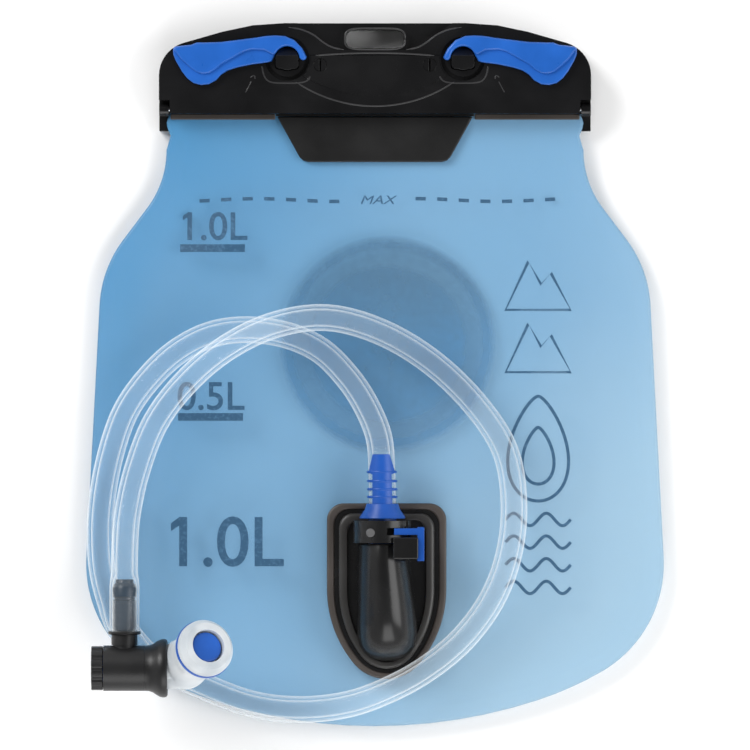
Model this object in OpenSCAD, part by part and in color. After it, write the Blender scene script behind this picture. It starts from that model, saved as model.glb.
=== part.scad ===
// Hydration bladder lying flat on its back: a welded film bag, a hinged mouth
// clamp with two locking levers, a quick-release hose dock, a drinking hose
// and an elbow bite valve. Millimetres. The floor is z = 0, the clamp is
// towards +Y, and the origin is the middle of the bag on the floor.

/* [Bag] */
// Distance from the origin to the bottom edge of the bag
bag_bottom = 124.1; // [123.5:0.1:125]
// Half width of the film where it enters the clamp
neck_half = 72; // [70:0.5:72.5]
// Height of the welded edge above the floor
weld_z = 6; // [6:0.1:6.2]
// Height of the front film over the bag's middle
film_top = 10; // [9.5:0.1:10]
// Thickness of one layer of film
film_t = 0.3; // [0.2:0.05:0.3]
// How far the front and rear films enter the clamp, as a Y position
mouth_end = 100; // [97:0.5:102]

/* [Clamp] */
// Half length of the clamp jaws
jaw_half = 76.2; // [76:0.1:78]
// Top of the rear jaw
rear_jaw_top = 5.6; // [5:0.1:5.7]
// Top of the front jaw, on which the levers turn
front_jaw_top = 14; // [13.5:0.1:14.5]
// Y position of the jaw hinge
hinge_y = 93.8; // [93.8:0.1:94.2]
// Height of the jaw hinge
hinge_z = 8.2; // [8.2:0.1:8.4]
// Radius of the jaw hinge pins
hinge_pin_r = 0.8; // [0.6:0.05:0.8]
// Length and width of the hang slot
slot_size = [20.2, 6.4]; // [16:0.2:22]

/* [Levers] */
// Distance from the middle to each lever post
post_x = 31; // [30:0.5:32]
// Y position of the lever posts
post_y = 111.5; // [111:0.1:112]
// Radius of the round side of a post
post_r = 4; // [3.6:0.1:4]
// Air between a post and its lever
lever_air = 0.45; // [0.4:0.05:0.5]
// Distance from the middle to each snap pin of the centre plate
snap_x = 19.3; // [18:0.1:20]
// Y position of the snap pins
snap_y = 109.4; // [109:0.1:110]
// Thickness of a lever
lever_t = 3.5; // [3:0.1:4]
// Swing of a lever from locked to open, in degrees
lever_swing = 32; // [20:1:32]

/* [Dock] */
// X position of the hose dock
dock_x = 2.6; // [2:0.1:3]
// Height of the hose connector's axis
dock_z = 21; // [21:0.1:22]
// Outer radius of the dock's barrel
barrel_r = 8.2; // [8:0.1:8.4]
// Radius of the dock's socket
socket_r = 5; // [4.8:0.1:5.2]
// Travel of the release button
button_travel = 2; // [1:0.1:2]

/* [Hose and bite valve] */
// Outer diameter of the drinking hose
hose_d = 9.5; // [8.5:0.1:9.5]
// Bore of the drinking hose
hose_bore = 6.4; // [6:0.1:6.6]
// Radius of the elbow's barrel
elbow_r = 8; // [7.5:0.1:8]
// Elevation of the mouthpiece, in degrees
mouth_tilt = 62; // [55:1:65]
// Direction of the mouthpiece on the floor, in degrees from +X
mouth_turn = 38; // [25:1:40]

/* [Hidden] */

$fn = 48;
eps = 0.01;          // overlap of a cutting tool past a face
fit = 0.05;          // running clearance of a pin or a slide

film_face = weld_z + film_t;               // front face of the welded edge
pillow_centre = [0, -25];
jaw_low = film_face + 0.45;                // back of the front jaw
plate_z = front_jaw_top - 1.2;             // back of the centre plate
ring_r = [6.3, 7.8];                       // ring groove of each lever's rail
gasket_size = [128, 2.4, 1.4];             // strip that seals the mouth
// Each ring of the bag's swell: share of the outline, share of the height
swell = [[0.94, 0], [0.90, 0.25], [0.86, 0.57], [0.80, 0.89], [0.74, 1]];

flange_z = film_top;                       // dock flange lies on the film
bezel_z = flange_z + 1.6;
cover_z = bezel_z + 1.2;                   // top of the bezel
flange_c = [4.1, -107.3];                  // lower tip of the dock flange
barrel_y = -59;                            // front end of the dock's barrel
barrel_end = -91;                          // centre of the barrel's round end
collar_y = -51.2;                          // hose side of the dock collar
nose_end = -61;                            // end of the plugged-in connector
latch = [6.7, -56.15, 26.5];               // lower corner of the latch plate
latch_t = 2.3;                             // thickness of the latch plate
arm_x = 14.9;                              // inner face of the button's arm
button_top = 31;                           // top of the latch plate and arm
rivet = [-1.6, -55.4, 28.4];               // foot of the collar's rivet
button_spring_at = [-63.6, 25];            // Y and Z of the button's spring

elbow_x = -88;                             // axis of the hose's far end
elbow_y = -103;                            // axis of the elbow's barrel
elbow_z = 28;
hose_end_y = -90;
mouth_c = [-67, -101.5, elbow_z];        // middle of the mouthpiece's bend

// Route of the drinking hose, from the connector to the elbow
hose_route = [
    [2.6, -45.2, 21], [2.4, -34, 21], [1.4, -22, 20.2], [-3, -11, 18.6],
    [-9.5, -1, 16.8], [-19, 8.5, 15.4], [-31, 14, 14.9], [-45, 16, 14.9],
    [-58, 14.2, 14.9], [-70, 8, 14.9], [-80, -1.5, 14.9], [-88, -13, 14],
    [-93, -27, 12.6], [-96, -42, 11.6], [-97, -57, 11.3],
    [-95.4, -73, 11.3], [-89, -89.7, 11.3], [-77, -101.5, 11.4],
    [-60, -110, 11.6], [-43, -116.2, 11.6], [-26, -118, 12],
    [-9, -116, 14], [6, -110.4, 16.2], [19, -103, 16],
    [31, -93, 15], [41, -79.5, 14.9], [47, -64, 14.9], [49, -46, 14.9],
    [46, -27, 14.9], [35.5, -10.5, 14.9], [20, 4.5, 15.4],
    [2, 15.2, 18.2], [-17, 20.2, 22.4], [-36, 17.4, 24.8],
    [-53, 9, 23.6], [-67, -3, 19.6], [-77.5, -17, 16.2],
    [-84, -34, 15.4], [-87.2, -49, 17.8], [elbow_x, -61, 22.9],
    [elbow_x, -72, 27.2], [elbow_x, -81, elbow_z],
    [elbow_x, hose_end_y, elbow_z]];

// ---------------------------------------------------------------- helpers

// Points of one step of an outline: an arc of [radius, turn in degrees], or a
// straight run of [length, 0]. A left turn is positive.
function step_points(p, h, s) = s[1] == 0
    ? [p + s[0] * [cos(h), sin(h)]]
    : let (d = sign(s[1]), n = ceil(abs(s[1]) / 9),
           c = p + d * s[0] * [-sin(h), cos(h)])
      [for (i = [1:n]) let (a = h + s[1] * i / n)
          c + d * s[0] * [sin(a), -cos(a)]];

// An outline that starts at p with heading h and follows the steps
function walk(p, h, steps, i = 0) = i == len(steps) ? [p]
    : let (run = step_points(p, h, steps[i]), last = run[len(run) - 1])
      concat([p], [for (k = [0:1:len(run) - 2]) run[k]],
             walk(last, h + steps[i][1], steps, i + 1));

// The right half of an outline and its mirror image, as one closed outline
function both_sides(half) = concat(half,
    [for (i = [len(half) - 1:-1:0]) if (half[i][0] > eps) [-half[i][0], half[i][1]]]);

function unit(v) = v / norm(v);

// Tube swept along a route, one ring of sides at each point
module swept_tube(route, radius, sides) {
    n = len(route);
    dirs = [for (i = [0:n - 1])
        unit(route[min(i + 1, n - 1)] - route[max(i - 1, 0)])];
    points = [for (i = [0:n - 1])
        let (side = unit(cross(dirs[i], [0, 0, 1])), up = cross(side, dirs[i]))
        for (k = [0:sides - 1])
            route[i] + radius * (cos(360 * k / sides) * side
                               + sin(360 * k / sides) * up)];
    skin = [for (i = [0:n - 2], k = [0:sides - 1])
        let (a = i * sides, b = a + sides, m = (k + 1) % sides)
        each [[a + k, b + k, a + m], [a + m, b + k, b + m]]];
    near_cap = [[for (k = [0:sides - 1]) k]];
    far_cap = [[for (k = [sides - 1:-1:0]) (n - 1) * sides + k]];
    polyhedron(points, concat(skin, near_cap, far_cap), convexity = 6);
}

// Helical spring along +Z from the origin
module coil_spring(radius, wire_r, length, turns) {
    steps = turns * 12;
    swept_tube([for (i = [0:steps])
        [radius * cos(30 * i), radius * sin(30 * i), length * i / steps]],
        wire_r, 6);
}

// O-ring around the Z axis
module oring(radius, wire_r) {
    rotate_extrude() translate([radius, 0]) circle(wire_r, $fn = 20);
}

// Points along -Y, +X or the mouthpiece's direction, from the +Z direction
module along_minus_y(p) { translate(p) rotate([90, 0, 0]) children(); }
module along_x(p) { translate(p) rotate([0, 90, 0]) children(); }
module along_mouth() {
    translate(mouth_c) rotate([0, 90 - mouth_tilt, mouth_turn]) children();
}

// Rectangle with round corners, centred on the origin
module round_rect(size, r) {
    for (s = [-1, 1], t = [-1, 1])
        translate([s * (size[0] / 2 - r), t * (size[1] / 2 - r)]) circle(r, $fn = 24);
    square([size[0], size[1] - 2 * r], center = true);
    square([size[0] - 2 * r, size[1]], center = true);
}

// -------------------------------------------------------------------- bag

bag_half = walk([0, -bag_bottom], 0, [[185, 18], [120, 12], [44, 63],
    [89.3, 0], [42, 34], [14, 0], [34, -37]]);
neck_points = [[neck_half, 90.5], [66, 91.2], [66, mouth_end]];
bag_outline = both_sides(concat(bag_half, neck_points));
pillow_outline = both_sides(bag_half);

// Swell of one film: rings of the outline that rise towards a flat middle
module pillow(base, height) {
    m = len(pillow_outline);
    points = [for (ring = swell, p = pillow_outline)
        let (q = pillow_centre + ring[0] * (p - pillow_centre))
        [q[0], q[1], base + ring[1] * height]];
    skin = [for (i = [0:len(swell) - 2], k = [0:m - 1])
        let (a = i * m, b = a + m, j = (k + 1) % m)
        each [[a + k, b + k, a + j], [a + j, b + k, b + j]]];
    first = [[for (k = [0:m - 1]) k]];
    last = [[for (k = [m - 1:-1:0]) (len(swell) - 1) * m + k]];
    polyhedron(points, concat(skin, first, last), convexity = 4);
}

module rear_panel() {
    color("LightSteelBlue") {
        translate([0, 0, weld_z - film_t])
            linear_extrude(film_t) polygon(bag_outline);
        translate([0, 0, weld_z - film_t]) mirror([0, 0, 1])
            pillow(0, weld_z - film_t);
    }
}

module front_panel() {
    color("LightBlue") {
        translate([0, 0, weld_z]) linear_extrude(film_t) polygon(bag_outline);
        pillow(film_face, film_top - film_face);
    }
}

// ------------------------------------------------------------------ clamp

jaw_outline = both_sides(walk([0, 92.3], 0, [[jaw_half - 2, 0], [2, 90],
    [11.3, 0], [12, 74], [14, 0], [80, 16]]));

// Plan of a lever post: round above, square below with rounded corners
module post_plan(grow = 0) {
    circle(post_r + grow);
    translate([0, -1.75]) round_rect([2 * (post_r + grow), 3.5 + 2 * grow], 1.3);
}

module hang_slot(z0, z1) {
    translate([0, 118.5, z0]) linear_extrude(z1 - z0) round_rect(slot_size, 2.4);
}

// Post with a lead-in taper on its upper side, which lets the jaw swing over it
module lever_post() {
    difference() {
        linear_extrude(front_jaw_top + lever_t) post_plan();
        translate([0, post_r, front_jaw_top + 0.2]) rotate([-48, 0, 0])
            translate([0, 0, 3]) cube([12, 12, 6], center = true);
    }
}

// The mouth gasket's place in the rear jaw
module gasket_seat(extra = 0) {
    translate([-gasket_size[0] / 2, 96, rear_jaw_top - gasket_size[2]])
        cube(gasket_size + [0, 0, extra]);
}

module rear_jaw() {
    color("DimGray") {
        difference() {
            linear_extrude(rear_jaw_top) polygon(jaw_outline);
            hang_slot(-eps, rear_jaw_top + eps);
            // groove for the mouth gasket
            gasket_seat(eps);
            // weight-saving pockets in the back
            for (s = [-1, 1], i = [0:2]) translate([s * (22 + 17 * i) - 6, 99.5, -eps])
                cube([12, 5, 1.5]);
        }
        for (s = [-1, 1]) {
            translate([s * post_x, post_y, 0]) lever_post();
            // hinge lug and the ear below it
            difference() {
                translate([s * 74.5 - 1.7, hinge_y - 7.6, 0]) union() {
                    cube([3.4, 10, rear_jaw_top]);
                    translate([0, 5.2, 0]) cube([3.4, 4.8, hinge_z]);
                    translate([0, 7.6, hinge_z]) rotate([0, 90, 0]) cylinder(3.4, r = 2.4);
                }
                along_x([s * 74.5 - 2, hinge_y, hinge_z]) cylinder(4, r = hinge_pin_r);
            }
        }
    }
}

// Soft strip that seals the mouth, set in the rear jaw
module mouth_gasket() {
    color("DarkSlateGray") gasket_seat();
}

// Welded bead along the mouth, seen below the front jaw beside the tab
module mouth_bead() {
    color("RosyBrown") for (s = [-1, 1]) translate([s * 50.4 - 15.6, 90, film_face])
        cube([31.2, 2.1, 1.1]);
}

// Stiff tab on the front film, with which the mouth is pulled open
module mouth_tab() {
    color("DarkSlateGray") translate([0, 0, film_face]) linear_extrude(2)
        polygon(both_sides(walk([0, 75.2], 0,
            [[22.6, 0], [4, 62], [15.4, 0]])));
}

module hinge_pins() {
    color("Silver") for (s = [-1, 1])
        along_x([s * 72.4 - 3.6, hinge_y, hinge_z]) cylinder(7.2, r = hinge_pin_r);
}

// Outline of the raised sides of the front jaw: all but the lower middle
module raised_plan() {
    difference() {
        polygon(jaw_outline);
        polygon(both_sides([[0, 114.6], [13, 114.6], [21, 119.5], [30, 126], [0, 126]]));
    }
}

module front_jaw() {
    color([0.16, 0.17, 0.19]) difference() {
        union() {
            translate([0, 0, jaw_low + 1.5]) linear_extrude(3.5) polygon(jaw_outline);
            translate([0, 0, jaw_low]) linear_extrude(2) intersection() {
                polygon(jaw_outline);
                translate([0, hinge_y + 20]) square([160, 40], center = true);
            }
            translate([0, 0, jaw_low + 5]) linear_extrude(front_jaw_top - jaw_low - 5)
                raised_plan();
            along_x([-72.2, hinge_y, hinge_z]) cylinder(144.4, r = 1.45);
        }
        hang_slot(jaw_low - eps, front_jaw_top);
        // window of each post and the room it needs as the jaw swings
        for (s = [-1, 1]) translate([s * post_x, post_y, jaw_low - eps]) {
            linear_extrude(front_jaw_top) {
                post_plan(0.3);
                translate([0, 2.5]) square([2 * post_r + 0.6, 6.6], center = true);
            }
            // ring groove in which the lever's rail turns
            translate([0, 0, front_jaw_top - jaw_low - 1.6]) difference() {
                cylinder(3, r = ring_r[1]);
                translate([0, 0, -eps]) cylinder(3.2, r = ring_r[0]);
            }
        }
        // room for the hinge lugs, and the pin bores
        for (s = [-1, 1]) {
            translate([s * 75.5 - 3.1, hinge_y - 4, jaw_low - 1]) cube([6.2, 7.2, 12]);
            along_x([s * 70 - 3, hinge_y, hinge_z]) cylinder(6, r = hinge_pin_r + fit);
        }
        // recess of the centre plate and the bores of its snap pins
        translate([0, 0, plate_z]) linear_extrude(2) centre_plan(0.1);
        for (s = [-1, 1]) translate([s * snap_x, snap_y, jaw_low - eps])
            cylinder(8, r = 1.5);
    }
}

// Outline of the centre plate: nearly straight above, an arc below, and cut
// back round the rings of the levers
module centre_plan(grow = 0) {
    difference() {
        intersection() {
            translate([0, 104 + grow]) square([57, 17.4] + 2 * grow * [1, 1], center = true);
            translate([0, 148]) circle(r = 49.5 + grow, $fn = 96);
        }
        for (s = [-1, 1]) translate([s * post_x, post_y]) circle(ring_r[1] + 0.4 - grow);
    }
}

module centre_plate() {
    color([0.24, 0.26, 0.29]) translate([0, 0, plate_z])
        difference() {
            linear_extrude(front_jaw_top - plate_z) centre_plan();
            for (s = [-1, 1]) translate([s * snap_x, snap_y, -eps]) cylinder(2, r = 2.4);
        }
}

// Split pins that hold the centre plate to the front jaw
module snap_pins() {
    color("Gray") for (s = [-1, 1]) translate([s * snap_x, snap_y, film_face + 1])
        difference() {
            union() {
                cylinder(front_jaw_top - film_face - 2.1, r = 1.45);
                translate([0, 0, front_jaw_top - film_face - 2.2]) cylinder(1, r = 2.3);
            }
            translate([-0.3, -3, 3]) cube([0.6, 6, 6]);
        }
}

// Plan of the left lever, with its post at the origin
module lever_plan() {
    difference() {
        union() {
            circle(8.1);
            hull() {
                translate([-3, 4]) circle(4, $fn = 32);
                translate([-22, 2.2]) circle(3.6, $fn = 32);
            }
            hull() {
                translate([-22, 2.2]) circle(3.6, $fn = 32);
                translate([-29.2, -1.8]) circle(7.2, $fn = 32);
                translate([-38.2, 3]) circle(1.2, $fn = 32);
            }
        }
        for (a = [0:4:lever_swing]) rotate(-a) post_plan(lever_air);
        // the ring is open below and on its inner side
        translate([-3.6, -12]) square([14, 11.6]);
        translate([-9, -12]) square([12, 10]);
    }
}

module lever() {
    difference() {
        union() {
            linear_extrude(lever_t) lever_plan();
            // rail that turns in the jaw's ring groove
            translate([0, 0, -1.45]) intersection() {
                difference() {
                    cylinder(1.6, r = ring_r[1] - 0.1);
                    translate([0, 0, -eps]) cylinder(2, r = ring_r[0] + 0.1);
                }
                translate([-8, 0.5, -1]) cube([16, 9, 4]);
            }
        }
        // the thumb pad is lower than the blade
        translate([-31, -10.4, lever_t - 0.9]) rotate(24) translate([-12, -3.7, 0])
            cube([24, 7.4, 2]);
    }
}

module left_lever() {
    color([0.1, 0.35, 0.75]) translate([-post_x, post_y, front_jaw_top + fit]) lever();
}

module right_lever() {
    color([0.1, 0.35, 0.75]) translate([post_x, post_y, front_jaw_top + fit])
        mirror([1, 0, 0]) lever();
}

// ------------------------------------------------------------------- dock

flange_half = walk([0, flange_c[1]], 0, [[15, 50], [41, 40], [24.3, 0], [6, 90]]);

module flange_plan(inset = 0) {
    centre = [0, -76];
    k = 1 - inset / 21.1;
    translate([flange_c[0], 0]) polygon([for (p = both_sides(flange_half))
        centre + k * (p - centre)]);
}

module dock_flange() {
    color([0.2, 0.2, 0.2]) translate([0, 0, flange_z])
        linear_extrude(bezel_z - flange_z) flange_plan();
}

module dock_bezel() {
    color([0.35, 0.34, 0.33]) translate([0, 0, bezel_z])
        linear_extrude(cover_z - bezel_z) difference() {
            flange_plan(1.3);
            cover_plan(0.1);
        }
}

// Footprint of the dock's body on the flange
module cover_plan(grow = 0) {
    translate([3.75, -80.3]) round_rect([26.5 + 2 * grow, 42 + 2 * grow], 9);
}

module dock_body() {
    color([0.13, 0.14, 0.15]) difference() {
        union() {
            translate([0, 0, bezel_z]) linear_extrude(3.4) cover_plan();
            translate([dock_x, 0, 0]) {
                along_minus_y([0, barrel_y, dock_z]) cylinder(barrel_y - barrel_end, r = barrel_r);
                translate([0, barrel_end, dock_z]) sphere(barrel_r);
                translate([-6, barrel_end, bezel_z]) cube([12, barrel_y - barrel_end - 1, 6]);
            }
        }
        along_minus_y([dock_x, barrel_y + eps, dock_z]) cylinder(21, r = socket_r);
        along_minus_y([dock_x, barrel_y - 15, dock_z]) cylinder(12, r = 3.4);
        // flow passage down to the bag
        translate([dock_x, -86, bezel_z - eps]) cylinder(dock_z - bezel_z, r = 2.5);
        // socket of the button's spring
        along_x(concat([dock_x + barrel_r - 1.9], button_spring_at)) cylinder(6, r = 1.6);
    }
}

module dock_collar() {
    color([0.1, 0.11, 0.12]) difference() {
        union() {
            intersection() {
                along_minus_y([dock_x, collar_y, dock_z])
                    cylinder(collar_y - barrel_y, r = 10.2);
                translate([-20, -70, cover_z]) cube([60, 30, 30]);
            }
            translate([dock_x, barrel_y, cover_z]) cube([9, collar_y - barrel_y, 14]);
        }
        along_minus_y([dock_x, collar_y + eps, dock_z]) cylinder(9, r = socket_r);
        // slot in which the latch plate slides
        translate(latch - [button_travel + 0.5, 0.15, 0.1]) cube([14, latch_t + 0.3, 6]);
        // seat of the rivet
        translate(rivet) cylinder(4, r = 1.3);
    }
}

module dock_rivet() {
    color("Silver") translate(rivet) {
        cylinder(2.6, r = 1.25);
        translate([0, 0, 2.5]) cylinder(0.5, r1 = 1.6, r2 = 1.1);
    }
}

// L-shaped latch plate and button, which slides sideways
module release_button() {
    color([0.1, 0.35, 0.75]) {
        translate(latch) cube([arm_x - latch[0] + 0.5, latch_t, button_top - latch[2]]);
        translate([arm_x, -65.3, 18.5]) cube([2.4, 11.8, button_top - 18.5]);
    }
}

// Thumb pad that stands on the arm and reaches in over the collar
module button_pad() {
    color([0.12, 0.12, 0.13]) translate([6.9, -62.6, button_top]) cube([9.2, 5.8, 1.4]);
}

// Spring between the barrel and the button, drawn at its pressed length
module button_spring() {
    color("Silver") along_x(concat([dock_x + barrel_r - 1.5], button_spring_at))
        coil_spring(1, 0.22, 2.4, 4);
}

// Poppet that the connector holds open against its spring
module check_poppet() {
    color("SteelBlue") along_minus_y([dock_x, nose_end - 0.3, dock_z]) {
        cylinder(3.4, r = 1.2);
        translate([0, 0, 3]) cylinder(1.6, r = 4.3);
        translate([0, 0, 4.2]) cylinder(3, r = 1.2);
    }
}

module poppet_spring() {
    color("Silver") along_minus_y([dock_x, nose_end - 6.4, dock_z])
        coil_spring(2.4, 0.3, 6, 5);
}

// Barbed plug of the hose, latched in the dock: barb, skirt, nose
module hose_connector() {
    barb_r = hose_bore / 2 - 0.1;
    nose_r = socket_r - fit;
    color([0.12, 0.4, 0.8]) along_minus_y([dock_x, -27.9, dock_z])
        rotate_extrude() polygon([[2, 0], [2.5, 0], [barb_r, 1.8],
            [barb_r, 17.4], [5.6, 17.4], [8.1, 22.6], [nose_r, 22.6],
            [nose_r, 29.5], [3.9, 29.5], [3.9, 31.3], [nose_r, 31.3],
            [nose_r, 33.1], [2, 33.1]]);
}

module connector_oring() {
    color("Black") along_minus_y([dock_x, -58.3, dock_z]) oring(4.4, 0.48);
}

// ------------------------------------------------------------------- hose

module hose() {
    color([0.8, 0.87, 0.92]) swept_tube(hose_route, hose_d / 2, 10);
}

// ------------------------------------------------------------- bite valve

// Barbed stem in the hose's end, on which the elbow swivels
module elbow_stem() {
    color([0.2, 0.2, 0.21]) along_minus_y([elbow_x, hose_end_y, elbow_z])
        difference() {
            union() {
                cylinder(1.2, r = 5.5);
                cylinder(7, r = 2.6);
            }
            translate([0, 0, -eps]) cylinder(8, r = 1.7);
            translate([0, 0, 4]) difference() {
                cylinder(1.2, r = 4);
                translate([0, 0, -eps]) cylinder(1.4, r = 2.1);
            }
        }
}

module stem_oring() {
    color("Black") along_minus_y([elbow_x, hose_end_y - 4.6, elbow_z]) oring(2.38, 0.25);
}

module elbow_body() {
    color([0.2, 0.2, 0.21]) difference() {
        union() {
            along_minus_y([elbow_x, hose_end_y - 1.25, elbow_z]) {
                cylinder(3.6, r = 4.6);
                cylinder(9, r = 4);
            }
            along_x([-95.4, elbow_y, elbow_z]) cylinder(14.6, r = elbow_r);
            along_x([-81, elbow_y, elbow_z]) cylinder(4, r = 4);
        }
        along_minus_y([elbow_x, hose_end_y - 1, elbow_z]) cylinder(8.2, r = 2.6 + fit);
        along_x([-96, elbow_y, elbow_z]) cylinder(12.6, r = 5 + fit);
        along_x([-84, elbow_y, elbow_z]) cylinder(8, r = 2);
        along_minus_y([elbow_x, hose_end_y - 8, elbow_z]) cylinder(6, r = 1.8);
    }
}

// Ribbed knob that turns the shut-off core
module shutoff_knob() {
    color([0.22, 0.22, 0.23]) along_x([-99.6, elbow_y, elbow_z]) difference() {
        cylinder(4, r = 7.8);
        for (a = [0:30:359]) rotate(a) translate([8.4, 0, -eps]) cylinder(5, r = 1.2, $fn = 24);
        translate([0, 0, -eps]) cylinder(1, r = 4.6);
    }
}

module shutoff_core() {
    color("SteelBlue") difference() {
        along_x([-95.6, elbow_y, elbow_z]) cylinder(11.4, r = 5);
        along_x([-90, elbow_y, elbow_z]) cylinder(7, r = 2);
        along_minus_y([elbow_x, elbow_y + 6, elbow_z]) cylinder(6, r = 1.8);
        along_x([-94.4, elbow_y, elbow_z]) difference() {
            cylinder(1.4, r = 6);
            translate([0, 0, -eps]) cylinder(1.6, r = 4.2);
        }
    }
}

module core_oring() {
    color("Black") along_x([-93.7, elbow_y, elbow_z]) oring(4.6, 0.38);
}

// Flared cup that holds the foot of the mouthpiece
module valve_collar() {
    color([0.17, 0.17, 0.18]) difference() {
        along_x([-80.8, elbow_y, elbow_z]) cylinder(7.8, r1 = elbow_r, r2 = 10.2);
        along_x([-79.8, elbow_y, elbow_z]) cylinder(7, r1 = 7.6, r2 = 9.6);
        along_x([-81.5, elbow_y, elbow_z]) cylinder(3, r = 4);
    }
}

// Soft bent mouthpiece: foot in the collar, bend, and flared lip
module mouthpiece() {
    color([0.85, 0.88, 0.9]) difference() {
        union() {
            along_x([-79.7, elbow_y, elbow_z]) cylinder(11, r = 7.2);
            translate(mouth_c) sphere(9);
            along_mouth() rotate_extrude() polygon([[0, 0], [8.6, 0], [8.6, 12],
                [10, 17], [10, 18], [9.2, 18], [9.2, 20.6], [10, 20.6],
                [10, 21.6], [8.4, 24], [0, 24]]);
        }
        along_x([-80, elbow_y, elbow_z]) cylinder(3.2, r = 4);
        along_mouth() rotate_extrude() polygon([[0, 1], [3, 1], [3, 17.5],
            [5.9, 17.5], [5.9, 25], [0, 25]]);
        along_x([-79, elbow_y, elbow_z]) cylinder(11, r = 2);
    }
}

module mouthpiece_ring() {
    color([0.15, 0.42, 0.82]) along_mouth() translate([0, 0, 18]) difference() {
        cylinder(2.6, r = 10.3);
        translate([0, 0, -eps]) cylinder(2.8, r = 9.2);
    }
}

// Coloured stopper that the bite pushes in
module bite_poppet() {
    color([0.15, 0.42, 0.82]) along_mouth() {
        translate([0, 0, 20]) cylinder(2.6, r = 5.4);
        translate([0, 0, 12]) cylinder(8.5, r = 1.6);
    }
}

rear_panel();
front_panel();
rear_jaw();
mouth_gasket();
mouth_bead();
mouth_tab();
hinge_pins();
front_jaw();
centre_plate();
snap_pins();
left_lever();
right_lever();
dock_flange();
dock_bezel();
dock_body();
dock_collar();
dock_rivet();
release_button();
button_pad();
button_spring();
check_poppet();
poppet_spring();
hose_connector();
connector_oring();
hose();
elbow_stem();
stem_oring();
elbow_body();
shutoff_knob();
shutoff_core();
core_oring();
valve_collar();
mouthpiece();
mouthpiece_ring();
bite_poppet();
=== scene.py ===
"""Looks of the hydration bladder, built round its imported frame. Metres, +Z up."""
import math

import bmesh
import bpy
import numpy as np
from mathutils import Matrix, Vector, noise


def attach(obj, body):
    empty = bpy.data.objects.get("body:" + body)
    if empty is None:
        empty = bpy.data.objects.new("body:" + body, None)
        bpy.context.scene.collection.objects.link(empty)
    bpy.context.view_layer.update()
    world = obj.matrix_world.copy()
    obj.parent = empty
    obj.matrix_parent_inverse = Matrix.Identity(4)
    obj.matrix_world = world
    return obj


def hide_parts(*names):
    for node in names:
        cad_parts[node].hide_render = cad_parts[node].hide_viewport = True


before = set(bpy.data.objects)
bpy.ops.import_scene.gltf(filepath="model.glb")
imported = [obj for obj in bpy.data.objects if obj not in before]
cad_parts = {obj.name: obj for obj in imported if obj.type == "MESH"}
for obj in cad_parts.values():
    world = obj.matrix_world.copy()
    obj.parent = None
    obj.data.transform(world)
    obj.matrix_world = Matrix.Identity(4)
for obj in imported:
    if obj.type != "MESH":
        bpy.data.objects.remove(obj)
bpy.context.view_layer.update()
MM = 0.001

# ------------------------------------------------------------------ the stage
# A plain pale table top under a wide soft light, with the camera straight above
# on a long lens, so that the flat object keeps its true outline.
VIEW_WIDTH = 264.75 * MM
LENS, SENSOR = 500.0, 36.0
camera_data = bpy.data.cameras.new("camera")
camera_data.lens = LENS
camera_data.sensor_width = SENSOR
camera_data.clip_end = 20
camera = bpy.data.objects.new("camera", camera_data)
camera.location = (0, 0, VIEW_WIDTH * LENS / SENSOR + 10 * MM)
bpy.context.scene.collection.objects.link(camera)
bpy.context.scene.camera = camera
bpy.context.scene.view_settings.view_transform = "Standard"
# two crossed tubes on two films are more see-through layers than the default eight
bpy.context.scene.cycles.transparent_max_bounces = 40

bpy.ops.mesh.primitive_plane_add(size=4, location=(0, 0, -0.1 * MM))
floor = bpy.context.object
floor.name = "floor"
floor_finish = bpy.data.materials.new("pale_floor")
floor_finish.use_nodes = True
floor_shader = floor_finish.node_tree.nodes["Principled BSDF"]
floor_shader.inputs["Base Color"].default_value = (0.93, 0.93, 0.93, 1)
floor_shader.inputs["Roughness"].default_value = 0.6
floor_shader.inputs["Specular IOR Level"].default_value = 0.1
floor.data.materials.append(floor_finish)

world = bpy.data.worlds.new("studio")
world.use_nodes = True
sky = world.node_tree
look = sky.nodes.new("ShaderNodeTexCoord")
apart = sky.nodes.new("ShaderNodeSeparateXYZ")
dome = sky.nodes.new("ShaderNodeMapRange")
dome.inputs["From Min"].default_value = 0.55
dome.inputs["From Max"].default_value = 0.95
dome.inputs["To Min"].default_value = 0.62
dome.inputs["To Max"].default_value = 0.10
sky.links.new(look.outputs["Generated"], apart.inputs["Vector"])
sky.links.new(apart.outputs["Z"], dome.inputs["Value"])
sky.links.new(dome.outputs["Result"], sky.nodes["Background"].inputs["Strength"])
sky.nodes["Background"].inputs["Color"].default_value = (1, 1, 1, 1)
bpy.context.scene.world = world


def soft_light(name, place, size, power):
    """A square area light that faces the middle of the table."""
    lamp = bpy.data.lights.new(name, "AREA")
    lamp.size = size
    lamp.energy = power
    holder = bpy.data.objects.new(name, lamp)
    holder.location = place
    holder.rotation_euler = (-Vector(place)).to_track_quat("-Z", "Y").to_euler()
    bpy.context.scene.collection.objects.link(holder)


soft_light("key", (-0.85, 0.75, 0.85), 0.7, 15)
soft_light("fill", (1.0, -0.15, 0.8), 0.9, 10)
soft_light("front", (0.1, -1.1, 0.8), 0.9, 8)

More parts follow.
